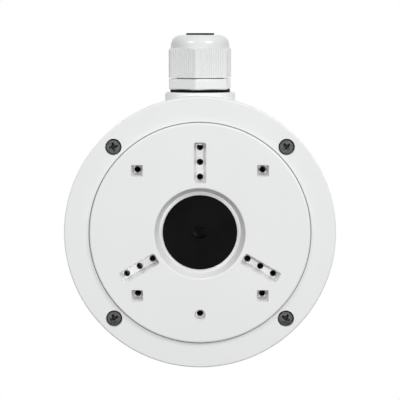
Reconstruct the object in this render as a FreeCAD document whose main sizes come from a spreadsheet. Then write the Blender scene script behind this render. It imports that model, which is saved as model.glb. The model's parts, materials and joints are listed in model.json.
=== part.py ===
import FreeCAD, Part
import math
import os

import Sketcher

# Round cast camera junction box with a cable gland on top, as a parametric document.
# The wall plane is Y = 0 and the box stands out from it towards -Y. +Z is up, towards the gland,
# +X is right seen from the front, and the origin is the centre of the back face.
# A depth is a distance in front of the wall plane, so a point at depth d has Y = -d.

DOCUMENT = FreeCAD.newDocument("CameraJunctionBox")
SHEET = DOCUMENT.addObject("Spreadsheet::Sheet", "Sizes")

# Driving dimensions in millimetres: alias, value, what it measures
DRIVING_SIZES = [
    ("base_depth", 38.0, "wall plane to the parting face"),
    ("base_rim_step", 0.3, "cover edge to the base under it"),
    ("base_side_draft", 1.7, "how far the base narrows towards the wall"),
    ("base_back_round", 1.5, "round on the back edge"),
    ("base_wall", 4.7, "side wall of the base at its rim"),
    ("back_plate", 3.5, "back plate of the base"),
    ("shadow_gap_height", 0.8, "shadow gap between base and cover"),
    ("shadow_gap_depth", 1.0, "shadow gap between base and cover"),
    ("cover_radius", 68.3, "outside of the cover"),
    ("cover_edge_height", 13.5, "parting face to the flange face"),
    ("cover_edge_round", 0.8, "round on the flange edge"),
    ("skirt_wall", 5.0, "side wall of the cover"),
    ("flange_plate", 4.0, "plate under the flange face"),
    ("flange_width", 12.9, "cover edge to the raised mounting face"),
    ("plateau_height", 2.0, "flange face to mounting face"),
    ("plateau_round", 0.9, "round on the edge of the mounting face"),
    ("plateau_plate", 3.5, "plate under the mounting face"),
    ("foot_groove", 0.5, "small groove round the foot of the raised face"),
    ("seal_inset", 2.9, "cover edge to the middle of the cover seal"),
    ("seal_width", 1.5, "section of the cover seal"),
    ("seal_height", 1.05, "section of the cover seal"),
    ("seal_side_gap", 0.05, "seal to groove wall"),
    ("tongue_height", 0.7, "cover tongue that presses the seal"),
    ("tongue_width", 1.2, "cover tongue that presses the seal"),
    ("tongue_gap", 0.05, "tongue to the seal"),
    ("cover_screw_inset", 7.1, "cover edge to the middle of a cover screw"),
    ("cover_screw_length", 16.0, "under the head"),
    ("shank_radius", 2.0, "M4 thread"),
    ("thread_gap", 0.05, "thread to its tapped hole"),
    ("screw_play", 0.3, "shank to the hole it passes through"),
    ("shank_end_bevel", 0.5, "end of the thread"),
    ("head_radius", 3.85, "pan head"),
    ("head_height", 2.6, "pan head"),
    ("head_round", 0.9, "edge of the pan head"),
    ("counterbore_play", 0.3, "head to counterbore"),
    ("counterbore_depth", 3.4, "flange face to the seat of the head"),
    ("cross_width", 0.95, "one arm of the cross recess"),
    ("cross_span", 4.3, "both arms of the cross recess"),
    ("cross_depth", 1.7, "cross recess"),
    ("post_radius", 5.0, "screw posts in the base"),
    ("post_hole_depth", 12.0, "tapped hole in a post"),
    ("pillar_radius", 5.5, "screw pillars in the cover"),
    ("retainer_radius", 2.9, "rubber ring that keeps a cover screw captive"),
    ("retainer_height", 1.4, "rubber ring that keeps a cover screw captive"),
    ("retainer_gap", 0.1, "rubber ring to its pocket"),
    ("opening_share", 0.37, "floor of the middle recess, of the mounting face's radius"),
    ("opening_depth", 6.7, "mounting face to the ledge"),
    ("opening_draft", 2.3, "how far the recess in the middle narrows"),
    ("opening_round", 0.6, "round on the mouth of the recess in the middle"),
    ("ledge_plate", 3.0, "ledge that holds the grommet"),
    ("ledge_width", 6.0, "floor of the recess round the ledge hole"),
    ("hub_wall", 5.5, "wall round the middle recess, beyond its floor"),
    ("grommet_front_gap", 1.75, "front flange of the grommet to the edge of the floor"),
    ("grommet_front", 2.2, "front flange of the grommet"),
    ("grommet_back_gap", 2.5, "back flange of the grommet, by how much it is smaller"),
    ("grommet_back", 2.2, "back flange of the grommet"),
    ("grommet_neck_gap", 0.2, "neck to the ledge hole"),
    ("grommet_round", 0.6, "front edge of the grommet"),
    ("camera_cable_radius", 3.3, "cable hole of the grommet"),
    ("lip_radius", 3.95, "lip round the cable hole"),
    ("lip_height", 0.5, "lip round the cable hole"),
    ("camera_hole_radius", 1.65, "holes for the camera's screws"),
    ("camera_recess_depth", 10.0, "mounting face to the seats of the holes"),
    ("camera_seat_plate", 3.0, "thickness that the holes are tapped in"),
    ("recess_draft", 1.3, "how far a recess narrows on each side"),
    ("well_wall", 0.9, "metal beyond the mouth of a recess"),
    ("groove_share", 0.6363, "middle hole of a groove, of the mounting face's radius"),
    ("groove_hole_step", 7.5, "from hole to hole along a groove"),
    ("groove_width", 6.2, "groove at the mounting face"),
    ("groove_corner", 1.3, "corners of a groove"),
    ("groove_end", 2.9, "outer hole to the end of a groove"),
    ("pocket_side", 5.9, "square pocket at the mounting face"),
    ("pocket_corner", 0.6, "corners of a square pocket"),
    ("pocket_share", 0.5686, "pocket holes across and up, of the mounting face's radius"),
    ("lower_hole_inset", 14.2, "single hole to the edge of the mounting face"),
    ("lower_recess_radius", 2.85, "round recess of the single hole"),
    ("lower_recess_depth", 6.0, "round recess of the single hole"),
    ("lower_draft", 0.9, "how far the round recess narrows"),
    ("lower_well_radius", 4.5, "metal round the single hole"),
    ("wall_hole_circle", 88.0, "pitch circle of the wall screw holes"),
    ("wall_hole_radius", 2.6, "wall screw holes"),
    ("wall_pad_radius", 6.0, "pads round the wall screw holes"),
    ("wall_pad_height", 1.5, "pads round the wall screw holes"),
    ("plug_spacing", 0.8, "flange of the rear plug to the wall pad below it"),
    ("rear_entry_radius", 11.0, "rear cable hole"),
    ("rear_seat_radius", 12.6, "counterbore for the lip of the plug"),
    ("rear_seat_depth", 1.4, "counterbore for the lip of the plug"),
    ("plug_gap", 0.2, "plug to the rear cable hole"),
    ("plug_lip_radius", 12.2, "outer lip of the plug"),
    ("plug_flange_radius", 13.5, "inner flange of the plug"),
    ("plug_flange", 1.8, "inner flange of the plug"),
    ("plug_inset", 0.2, "plug below the wall plane"),
    ("plug_wall", 2.0, "rubber round the hollow of the plug"),
    ("earth_inset", 33.3, "earth screw from the side wall, both across and down"),
    ("earth_post_radius", 5.0, "earth post"),
    ("earth_post_height", 6.0, "earth post above the back plate"),
    ("earth_screw_length", 6.0, "under the head"),
    ("earth_hole_depth", 6.0, "tapped hole of the earth post"),
    ("earth_washer_radius", 4.5, "washer under the earth screw"),
    ("earth_washer_height", 1.0, "washer under the earth screw"),
    ("gland_depth", 19.0, "axis of the gland in front of the wall plane"),
    ("boss_radius", 18.1, "gland boss"),
    ("boss_reach", 1.5, "seat of the gland beyond the cover edge"),
    ("boss_round", 1.3, "edge of the boss top"),
    ("boss_length", 12.8, "seat of the gland to the inner end of the boss"),
    ("stud_radius", 12.0, "thread of the gland body in the boss"),
    ("port_gap", 0.1, "thread of the gland body to the boss"),
    ("outer_stud_radius", 12.3, "thread of the gland body under the cap nut"),
    ("gland_bore_radius", 8.5, "cable way through the gland body"),
    ("stud_inner_length", 11.8, "thread in the boss, below its seat"),
    ("nut_headroom", 10.4, "top of the cap nut above the thread under it"),
    ("gasket_radius", 15.4, "flat gasket under the hexagon"),
    ("gasket_height", 1.4, "flat gasket under the hexagon"),
    ("gasket_gap", 0.3, "gasket to the thread"),
    ("hex_flats", 30.3, "gland body across flats"),
    ("hex_height", 5.5, "hexagon of the gland body"),
    ("hex_turn", 6.4, "degrees that the hexagons are turned by"),
    ("hex_chamfer", 0.5, "lower corners of the hexagon"),
    ("hex_corner", 1.5, "upright edges of the hexagon"),
    ("nut_gap", 0.5, "hexagon to the cap nut"),
    ("nut_flats", 30.66, "cap nut across flats"),
    ("nut_height", 21.9, "cap nut"),
    ("nut_corner", 2.0, "upright edges of the cap nut"),
    ("nut_rim", 1.0, "plain rim under the ribs"),
    ("dome_radius", 15.2, "foot of the dome"),
    ("dome_top_radius", 14.9, "dome where its round begins"),
    ("dome_height", 6.6, "dome of the cap nut"),
    ("dome_round", 5.3, "shoulder of the dome"),
    ("dome_flare", 1.3, "height over which the hexagon's corners run out"),
    ("nut_hole_radius", 7.6, "hole in the top of the cap nut"),
    ("nut_thread_gap", 0.1, "thread to the cap nut"),
    ("nut_cone_height", 6.0, "cone that closes the claw"),
    ("nut_crown", 1.9, "wall over the cone"),
    ("rib_count", 11, "grooves on each flat of the cap nut"),
    ("rib_pitch", 1.25, "from groove to groove"),
    ("rib_width", 0.7, "mouth of a groove"),
    ("rib_depth", 0.25, "depth of a groove"),
    ("claw_ring_height", 10.0, "claw below its collar"),
    ("claw_gap", 0.3, "claw to the bore round it"),
    ("claw_wall", 2.0, "claw round the seal insert"),
    ("claw_collar", 1.5, "collar of the claw"),
    ("claw_finger_height", 5.2, "fingers above the collar"),
    ("claw_slot", 1.2, "slots between the fingers"),
    ("claw_finger_count", 8, "fingers of the claw"),
    ("claw_tip_bevel", 0.8, "outside of the finger tips"),
    ("claw_lip", 1.5, "lip under the seal insert"),
    ("insert_radius", 7.2, "outside of the seal insert"),
    ("insert_bore_radius", 5.0, "cable hole of the seal insert"),
    ("insert_gap", 0.1, "seal insert to the claw"),
    ("insert_proud", 0.9, "seal insert above the cap nut"),
]


class Size:
    """A number together with the sheet expression that gives it."""

    def __init__(self, value, text):
        self.value = value
        self.text = text

    def __add__(self, other):
        other = as_size(other)
        return Size(self.value + other.value, f"({self.text} + {other.text})")

    def __sub__(self, other):
        other = as_size(other)
        return Size(self.value - other.value, f"({self.text} - {other.text})")

    def __mul__(self, other):
        other = as_size(other)
        return Size(self.value * other.value, f"({self.text} * {other.text})")

    def __truediv__(self, other):
        other = as_size(other)
        return Size(self.value / other.value, f"({self.text} / {other.text})")

    def __neg__(self):
        return Size(-self.value, f"(0 - {self.text})")


def as_size(number):
    """A plain number as a Size; a Size stays as it is."""
    if isinstance(number, Size):
        return number
    return Size(float(number), f"({float(number)})")


class NamedSizes:
    """The cells of the sheet, each as an attribute that is a Size."""


def fill_sheet():
    """Writes the driving sizes into the sheet and returns them by name."""
    named = NamedSizes()
    for row, (alias, value, meaning) in enumerate(DRIVING_SIZES, start=1):
        SHEET.set(f"A{row}", meaning)
        SHEET.set(f"B{row}", str(value))
        SHEET.setAlias(f"B{row}", alias)
        setattr(named, alias, Size(float(value), f"Sizes.{alias}"))
    DOCUMENT.recompute()
    return named


S = fill_sheet()
ZERO = as_size(0)


# Sketches and features

def new_body(name):
    body = DOCUMENT.addObject("PartDesign::Body", name)
    body.Label = name
    return body


def origin_feature(body, role):
    for feature in body.Origin.OriginFeatures:
        if feature.Role == role:
            return feature
    raise ValueError(f"{body.Label} has no {role}")


def new_sketch(body, name, plane, offset=ZERO):
    """A sketch on one of the body's own planes, moved along the plane's normal by offset."""
    sketch = body.newObject("Sketcher::SketchObject", name)
    sketch.AttachmentSupport = [(origin_feature(body, plane), "")]
    sketch.MapMode = "FlatFace"
    sketch.setExpression(".AttachmentOffset.Base.z", offset.text)
    return sketch


def depth_section(body, name):
    """A sketch of radius against depth, for pieces turned about the box's axis."""
    sketch = new_sketch(body, name, "XY_Plane")
    half_turn = FreeCAD.Rotation(FreeCAD.Vector(1, 0, 0), 180)
    sketch.AttachmentOffset = FreeCAD.Placement(FreeCAD.Vector(0, 0, 0), half_turn)
    return sketch


def height_section(body, name):
    """A sketch of radius against height, for pieces turned about their own upright axis."""
    return new_sketch(body, name, "XZ_Plane")


def tie_point(sketch, geometry, corner, across, along):
    """Fixes one point of the sketch at two sizes measured from the sketch's origin."""
    for kind, size in (("DistanceX", across), ("DistanceY", along)):
        constraint = Sketcher.Constraint(kind, -1, 1, geometry, corner, size.value)
        index = sketch.addConstraint(constraint)
        sketch.setExpression(f"Constraints[{index}]", size.text)


def draw_outline(sketch, corners):
    """Joins the corners with straight lines, closes them and ties every corner."""
    first = sketch.GeometryCount
    spots = [FreeCAD.Vector(x.value, y.value, 0) for x, y in corners]
    following = spots[1:] + spots[:1]
    for start, end in zip(spots, following):
        sketch.addGeometry(Part.LineSegment(start, end))
    for index, (across, along) in enumerate(corners):
        after = first + (index + 1) % len(corners)
        sketch.addConstraint(Sketcher.Constraint("Coincident", first + index, 2, after, 1))
        tie_point(sketch, first + index, 1, across, along)


def draw_rectangle(sketch, centre_x, centre_y, width, height):
    left, right = centre_x - width / 2, centre_x + width / 2
    low, high = centre_y - height / 2, centre_y + height / 2
    draw_outline(sketch, [(left, low), (right, low), (right, high), (left, high)])


def draw_rounded_rectangle(sketch, centre_x, centre_y, width, height, corner):
    """A rectangle with round corners: four sides and four arcs, in order round it."""
    left, right = centre_x - width / 2, centre_x + width / 2
    low, high = centre_y - height / 2, centre_y + height / 2
    points = [
        (left + corner, low), (right - corner, low),
        (right, low + corner), (right, high - corner),
        (right - corner, high), (left + corner, high),
        (left, high - corner), (left, low + corner),
    ]
    middles = [
        (right - corner, low + corner), (right - corner, high - corner),
        (left + corner, high - corner), (left + corner, low + corner),
    ]
    first = sketch.GeometryCount
    for side, (across, along) in enumerate(middles):
        start, end = points[2 * side], points[2 * side + 1]
        from_spot = FreeCAD.Vector(start[0].value, start[1].value, 0)
        to_spot = FreeCAD.Vector(end[0].value, end[1].value, 0)
        sketch.addGeometry(Part.LineSegment(from_spot, to_spot))
        middle = FreeCAD.Vector(across.value, along.value, 0)
        circle = Part.Circle(middle, FreeCAD.Vector(0, 0, 1), corner.value)
        begin = math.radians(90 * side - 90)
        sketch.addGeometry(Part.ArcOfCircle(circle, begin, begin + math.pi / 2))
        tie_point(sketch, first + 2 * side, 1, *start)
        tie_point(sketch, first + 2 * side, 2, *end)
    for side in range(4):
        line = first + 2 * side
        arc, next_line = line + 1, first + (2 * side + 2) % 8
        sketch.addConstraint(Sketcher.Constraint("Coincident", line, 2, arc, 1))
        sketch.addConstraint(Sketcher.Constraint("Coincident", arc, 2, next_line, 1))
        index = sketch.addConstraint(Sketcher.Constraint("Radius", arc, corner.value))
        sketch.setExpression(f"Constraints[{index}]", corner.text)


def draw_circle(sketch, centre_x, centre_y, radius):
    centre = FreeCAD.Vector(centre_x.value, centre_y.value, 0)
    normal = FreeCAD.Vector(0, 0, 1)
    circle = sketch.addGeometry(Part.Circle(centre, normal, radius.value))
    tie_point(sketch, circle, 3, centre_x, centre_y)
    index = sketch.addConstraint(Sketcher.Constraint("Radius", circle, radius.value))
    sketch.setExpression(f"Constraints[{index}]", radius.text)


def revolve(body, sketch, name):
    feature = body.newObject("PartDesign::Revolution", name)
    feature.Profile = sketch
    feature.ReferenceAxis = (sketch, ["V_Axis"])
    feature.Angle = 360
    return finished(body, feature)


def groove(body, sketch, name):
    """Turns the sketch away from the body."""
    before = solid_volume(body)
    feature = body.newObject("PartDesign::Groove", name)
    feature.Profile = sketch
    feature.ReferenceAxis = (sketch, ["V_Axis"])
    feature.Angle = 360
    return finished(body, feature, less_than=before)


def pad(body, sketch, length, name):
    feature = body.newObject("PartDesign::Pad", name)
    feature.Profile = sketch
    feature.setExpression("Length", length.text)
    return finished(body, feature)


def pocket(body, sketch, length, name, reversed_cut=False):
    before = solid_volume(body)
    feature = body.newObject("PartDesign::Pocket", name)
    feature.Profile = sketch
    feature.Reversed = reversed_cut
    feature.setExpression("Length", length.text)
    return finished(body, feature, less_than=before)


def tapered_pocket(body, mouth, floor, name):
    """A recess that narrows from the mouth sketch to the floor sketch."""
    before = solid_volume(body)
    feature = body.newObject("PartDesign::SubtractiveLoft", name)
    feature.Profile = mouth
    feature.Sections = [floor]
    feature.Ruled = True
    return finished(body, feature, less_than=before)


def around_axis(body, originals, role, count, name):
    """Repeats features evenly round one of the body's axes."""
    feature = body.newObject("PartDesign::PolarPattern", name)
    feature.Originals = originals
    feature.Axis = (origin_feature(body, role), [""])
    feature.Angle = 360
    feature.Occurrences = count
    return finished(body, feature)


def round_edges(body, edges, radius, name):
    base = body.Tip
    feature = body.newObject("PartDesign::Fillet", name)
    feature.Base = (base, edges)
    feature.setExpression("Radius", radius.text)
    return finished(body, feature)


def solid_volume(body):
    return body.Tip.Shape.Volume if body.Tip else 0.0


def finished(body, feature, less_than=None):
    """Computes a new feature, and makes sure that it worked and that a cut took metal away."""
    body.Tip = feature
    DOCUMENT.recompute()
    if "Invalid" in feature.State or "Error" in feature.State:
        raise ValueError(f"{body.Label}: {feature.Label} failed: {feature.State}")
    if less_than is not None and feature.Shape.Volume > less_than - 1e-6:
        raise ValueError(f"{body.Label}: {feature.Label} cuts nothing")
    return feature


NEAR = 0.01


def ring_edges(body, radius, position, axis):
    """Names of the round edges of that radius whose centre lies at that place along the axis."""
    names = []
    for number, edge in enumerate(body.Tip.Shape.Edges, start=1):
        if not isinstance(edge.Curve, Part.Circle):
            continue
        centre = edge.Curve.Center
        along = centre.dot(axis)
        off_axis = (centre - axis * along).Length
        close = abs(along - position.value) < NEAR and abs(edge.Curve.Radius - radius.value) < NEAR
        if close and off_axis < NEAR:
            names.append(f"Edge{number}")
    return names


def edges_where(body, test):
    """Names of the edges whose two ends both pass the test."""
    names = []
    for number, edge in enumerate(body.Tip.Shape.Edges, start=1):
        if all(test(vertex.Point) for vertex in edge.Vertexes):
            names.append(f"Edge{number}")
    return names


def upright_edges(body, foot, top):
    """Names of the straight edges that run from one height to another."""
    names = []
    for number, edge in enumerate(body.Tip.Shape.Edges, start=1):
        heights = sorted(vertex.Point.z for vertex in edge.Vertexes)
        if len(heights) != 2 or not isinstance(edge.Curve, Part.Line):
            continue
        if abs(heights[0] - foot.value) < NEAR and abs(heights[1] - top.value) < NEAR:
            names.append(f"Edge{number}")
    return names


FORWARD = FreeCAD.Vector(0, -1, 0)
UPWARD = FreeCAD.Vector(0, 0, 1)


# Places that several pieces share

BASE_RIM = S.cover_radius - S.base_rim_step
BASE_BACK = BASE_RIM - S.base_side_draft
BASE_INSIDE = BASE_RIM - S.base_wall
SKIRT_INSIDE = S.cover_radius - S.skirt_wall
PLATEAU = S.cover_radius - S.flange_width
SEAL_CIRCLE = S.cover_radius - S.seal_inset
OPENING = PLATEAU * S.opening_share
LEDGE_HOLE = OPENING - S.ledge_width
HUB = OPENING + S.hub_wall
GROMMET_FRONT = OPENING - S.grommet_front_gap
GROMMET_BACK = OPENING - S.grommet_back_gap
GROOVE_MIDDLE = PLATEAU * S.groove_share
LOWER_HOLE = PLATEAU - S.lower_hole_inset
REAR_DROP = S.wall_hole_circle / 2 - S.wall_pad_radius - S.plug_flange_radius - S.plug_spacing
BOSS_TOP = S.cover_radius + S.boss_reach
BOSS_FOOT = BOSS_TOP - S.boss_length

FLANGE_FACE = S.base_depth + S.cover_edge_height
MOUNTING_FACE = FLANGE_FACE + S.plateau_height
FLANGE_BACK = FLANGE_FACE - S.flange_plate
PLATEAU_BACK = MOUNTING_FACE - S.plateau_plate
LEDGE_FACE = MOUNTING_FACE - S.opening_depth
LEDGE_BACK = LEDGE_FACE - S.ledge_plate
SEAT_FACE = MOUNTING_FACE - S.camera_recess_depth
SEAT_BACK = SEAT_FACE - S.camera_seat_plate
LOWER_SEAT_FACE = MOUNTING_FACE - S.lower_recess_depth
LOWER_SEAT_BACK = LOWER_SEAT_FACE - S.camera_seat_plate
HEAD_SEAT = FLANGE_FACE - S.counterbore_depth
SEAL_GROOVE_WIDTH = S.seal_width + S.seal_side_gap * 2
SEAL_SEAT = S.base_depth - S.tongue_height - S.tongue_gap - S.seal_height
SCREW_OFFSET = (S.cover_radius - S.cover_screw_inset) * math.sqrt(0.5)
GROOVE_LENGTH = S.groove_hole_step * 2 + S.groove_end * 2
POCKET_OFFSET = PLATEAU * S.pocket_share
EARTH_SEAT = S.back_plate + S.earth_post_height
EARTH_PLACE = BASE_INSIDE - S.earth_inset
THREAD_HOLE = S.shank_radius + S.thread_gap
PASSING_HOLE = S.shank_radius + S.screw_play

GASKET_TOP = BOSS_TOP + S.gasket_height
HEX_TOP = GASKET_TOP + S.hex_height
STUD_FOOT = BOSS_TOP - S.stud_inner_length
NUT_FOOT = HEX_TOP + S.nut_gap
NUT_TOP = NUT_FOOT + S.nut_height
STUD_TOP = NUT_TOP - S.nut_gap - S.nut_headroom
NUT_BORE = S.outer_stud_radius + S.nut_thread_gap
CONE_TOP = NUT_TOP - S.nut_crown
CONE_FOOT = CONE_TOP - S.nut_cone_height
COLLAR_FOOT = STUD_TOP + S.nut_gap
COLLAR_TOP = COLLAR_FOOT + S.claw_collar
CLAW_FOOT = COLLAR_FOOT - S.claw_ring_height
CLAW_TOP = COLLAR_TOP + S.claw_finger_height
CLAW_INSIDE = S.insert_radius + S.insert_gap
CLAW_OUTSIDE = CLAW_INSIDE + S.claw_wall
CLAW_BORE = CLAW_OUTSIDE + S.claw_gap
INSERT_FOOT = CLAW_FOOT + S.claw_lip

# How far the outline of a cut reaches beyond the metal that it takes away
BEYOND = as_size(2)

# The four cover screws, as they were left: side, level and turn of the cross in degrees
SCREW_PLACES = [(-1, 1, 12.0), (1, 1, 40.0), (-1, -1, 24.0), (1, -1, 58.0)]
EARTH_SCREW_TURN = 45.0


# The cast base

def base_housing():
    body = new_body("base_housing")
    gap_foot = S.base_depth - S.shadow_gap_height
    gap_radius = BASE_RIM - S.shadow_gap_depth
    section = depth_section(body, "BaseSection")
    draw_outline(section, [
        (ZERO, ZERO),
        (BASE_BACK, ZERO),
        (BASE_RIM, gap_foot),
        (gap_radius, gap_foot),
        (gap_radius, S.base_depth),
        (BASE_INSIDE, S.base_depth),
        (BASE_INSIDE, S.back_plate),
        (ZERO, S.back_plate),
    ])
    revolve(body, section, "BaseCup")
    back_edge = ring_edges(body, BASE_BACK, ZERO, FORWARD)
    round_edges(body, back_edge, S.base_back_round, "BackRound")
    add_gland_boss(body)
    add_screw_posts(body)
    cut_seal_groove(body)
    add_wall_holes(body)
    add_earth_post(body)
    cut_rear_entry(body)
    return body


def add_gland_boss(body):
    """The round boss that stands out of the side wall and carries the gland."""
    circle = new_sketch(body, "BossSketch", "XY_Plane", BOSS_FOOT)
    draw_circle(circle, ZERO, -S.gland_depth, S.boss_radius)
    pad(body, circle, BOSS_TOP - BOSS_FOOT, "GlandBoss")

    def on_boss_edge(point):
        return abs(point.z - BOSS_TOP.value) < NEAR

    round_edges(body, edges_where(body, on_boss_edge), S.boss_round, "BossTopRound")
    bore = new_sketch(body, "GlandPortSketch", "XY_Plane", BOSS_TOP)
    draw_circle(bore, ZERO, -S.gland_depth, S.stud_radius + S.port_gap)
    pocket(body, bore, BOSS_TOP - BOSS_FOOT, "GlandPort")


def add_screw_posts(body):
    """Four posts, each with a tapped hole for a cover screw."""
    post = new_sketch(body, "PostSketch", "XZ_Plane", S.back_plate)
    draw_circle(post, SCREW_OFFSET, SCREW_OFFSET, S.post_radius)
    first_post = pad(body, post, S.base_depth - S.back_plate, "Post")
    around_axis(body, [first_post], "Y_Axis", 4, "Posts")
    hole = new_sketch(body, "PostHoleSketch", "XZ_Plane", S.base_depth)
    draw_circle(hole, SCREW_OFFSET, SCREW_OFFSET, THREAD_HOLE)
    first_hole = pocket(body, hole, S.post_hole_depth, "PostHole")
    around_axis(body, [first_hole], "Y_Axis", 4, "PostHoles")


def cut_seal_groove(body):
    """The groove for the cover seal, cut through the rim, the boss and the posts alike."""
    inside = SEAL_CIRCLE - SEAL_GROOVE_WIDTH / 2
    outside = SEAL_CIRCLE + SEAL_GROOVE_WIDTH / 2
    section = depth_section(body, "SealGrooveSection")
    draw_outline(section, [
        (inside, SEAL_SEAT),
        (outside, SEAL_SEAT),
        (outside, S.base_depth),
        (inside, S.base_depth),
    ])
    groove(body, section, "SealGroove")


def add_wall_holes(body):
    """Four raised pads with the holes for the wall screws, level and plumb with the centre."""
    pad_face = S.back_plate + S.wall_pad_height
    circle = new_sketch(body, "WallPadSketch", "XZ_Plane", S.back_plate)
    draw_circle(circle, S.wall_hole_circle / 2, ZERO, S.wall_pad_radius)
    first_pad = pad(body, circle, S.wall_pad_height, "WallPad")
    around_axis(body, [first_pad], "Y_Axis", 4, "WallPads")
    hole = new_sketch(body, "WallHoleSketch", "XZ_Plane", pad_face)
    draw_circle(hole, S.wall_hole_circle / 2, ZERO, S.wall_hole_radius)
    first_hole = pocket(body, hole, pad_face, "WallHole")
    around_axis(body, [first_hole], "Y_Axis", 4, "WallHoles")


def add_earth_post(body):
    post = new_sketch(body, "EarthPostSketch", "XZ_Plane", S.back_plate)
    draw_circle(post, EARTH_PLACE, -EARTH_PLACE, S.earth_post_radius)
    pad(body, post, S.earth_post_height, "EarthPost")
    hole = new_sketch(body, "EarthHoleSketch", "XZ_Plane", EARTH_SEAT)
    draw_circle(hole, EARTH_PLACE, -EARTH_PLACE, THREAD_HOLE)
    pocket(body, hole, S.earth_hole_depth, "EarthHole")


def cut_rear_entry(body):
    """The rear cable hole, with a counterbore at the wall for the lip of its plug."""
    way = new_sketch(body, "RearEntrySketch", "XZ_Plane", S.back_plate)
    draw_circle(way, ZERO, -REAR_DROP, S.rear_entry_radius)
    pocket(body, way, S.back_plate, "RearEntry")
    seat = new_sketch(body, "RearSeatSketch", "XZ_Plane", S.rear_seat_depth)
    draw_circle(seat, ZERO, -REAR_DROP, S.rear_seat_radius)
    pocket(body, seat, S.rear_seat_depth, "RearSeat")


# The cast cover

def front_cover():
    body = new_body("front_cover")
    plateau_inside = PLATEAU - S.plateau_plate
    tongue_in = SEAL_CIRCLE - S.tongue_width / 2
    tongue_out = SEAL_CIRCLE + S.tongue_width / 2
    tongue_foot = S.base_depth - S.tongue_height
    groove_out = PLATEAU + S.foot_groove
    mouth_radius = OPENING + S.opening_draft
    section = depth_section(body, "CoverSection")
    draw_outline(section, [
        (LEDGE_HOLE, LEDGE_BACK),
        (HUB, LEDGE_BACK),
        (HUB, PLATEAU_BACK),
        (plateau_inside, PLATEAU_BACK),
        (plateau_inside, FLANGE_BACK),
        (SKIRT_INSIDE, FLANGE_BACK),
        (SKIRT_INSIDE, S.base_depth),
        (tongue_in, S.base_depth),
        (tongue_in, tongue_foot),
        (tongue_out, tongue_foot),
        (tongue_out, S.base_depth),
        (S.cover_radius, S.base_depth),
        (S.cover_radius, FLANGE_FACE),
        (groove_out, FLANGE_FACE),
        (groove_out, FLANGE_FACE - S.foot_groove),
        (PLATEAU, FLANGE_FACE - S.foot_groove),
        (PLATEAU, MOUNTING_FACE),
        (mouth_radius, MOUNTING_FACE),
        (OPENING, LEDGE_FACE),
        (LEDGE_HOLE, LEDGE_FACE),
    ])
    revolve(body, section, "CoverShell")
    flange_edge = ring_edges(body, S.cover_radius, FLANGE_FACE, FORWARD)
    round_edges(body, flange_edge, S.cover_edge_round, "FlangeRound")
    plateau_edge = ring_edges(body, PLATEAU, MOUNTING_FACE, FORWARD)
    round_edges(body, plateau_edge, S.plateau_round, "PlateauRound")
    mouth_edge = ring_edges(body, mouth_radius, MOUNTING_FACE, FORWARD)
    round_edges(body, mouth_edge, S.opening_round, "MouthRound")
    add_wells(body)
    add_screw_pillars(body)
    cut_grooves(body)
    cut_pockets(body)
    cut_lower_hole(body)
    return body


def add_wells(body):
    """The metal behind the recesses, which the camera screws are tapped in."""
    around = S.well_wall * 2
    height = PLATEAU_BACK - SEAT_BACK
    groove_well = new_sketch(body, "GrooveWellSketch", "XZ_Plane", SEAT_BACK)
    draw_rectangle(groove_well, ZERO, GROOVE_MIDDLE, S.groove_width + around, GROOVE_LENGTH + around)
    first = pad(body, groove_well, height, "GrooveWell")
    around_axis(body, [first], "Y_Axis", 3, "GrooveWells")
    pocket_well = new_sketch(body, "PocketWellSketch", "XZ_Plane", SEAT_BACK)
    side = S.pocket_side + around
    draw_rectangle(pocket_well, POCKET_OFFSET, POCKET_OFFSET, side, side)
    first = pad(body, pocket_well, height, "PocketWell")
    around_axis(body, [first], "Y_Axis", 4, "PocketWells")
    lower_well = new_sketch(body, "LowerWellSketch", "XZ_Plane", LOWER_SEAT_BACK)
    draw_circle(lower_well, ZERO, -LOWER_HOLE, S.lower_well_radius)
    pad(body, lower_well, PLATEAU_BACK - LOWER_SEAT_BACK, "LowerWell")


def add_screw_pillars(body):
    """Four pillars down to the parting face, with holes, counterbores and retainer pockets."""
    pillar = new_sketch(body, "PillarSketch", "XZ_Plane", S.base_depth)
    draw_circle(pillar, SCREW_OFFSET, SCREW_OFFSET, S.pillar_radius)
    first = pad(body, pillar, FLANGE_BACK - S.base_depth, "Pillar")
    around_axis(body, [first], "Y_Axis", 4, "Pillars")
    counterbore = new_sketch(body, "CounterboreSketch", "XZ_Plane", FLANGE_FACE)
    draw_circle(counterbore, SCREW_OFFSET, SCREW_OFFSET, S.head_radius + S.counterbore_play)
    counterbore_cut = pocket(body, counterbore, S.counterbore_depth, "Counterbore")
    hole = new_sketch(body, "ScrewHoleSketch", "XZ_Plane", HEAD_SEAT)
    draw_circle(hole, SCREW_OFFSET, SCREW_OFFSET, PASSING_HOLE)
    hole_cut = pocket(body, hole, HEAD_SEAT - S.base_depth, "ScrewHole")
    ring = new_sketch(body, "RetainerPocketSketch", "XZ_Plane", S.base_depth)
    draw_circle(ring, SCREW_OFFSET, SCREW_OFFSET, S.retainer_radius + S.retainer_gap)
    ring_cut = pocket(body, ring, S.retainer_height + S.retainer_gap, "RetainerPocket", reversed_cut=True)
    around_axis(body, [counterbore_cut, hole_cut, ring_cut], "Y_Axis", 4, "ScrewHoles")


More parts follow.
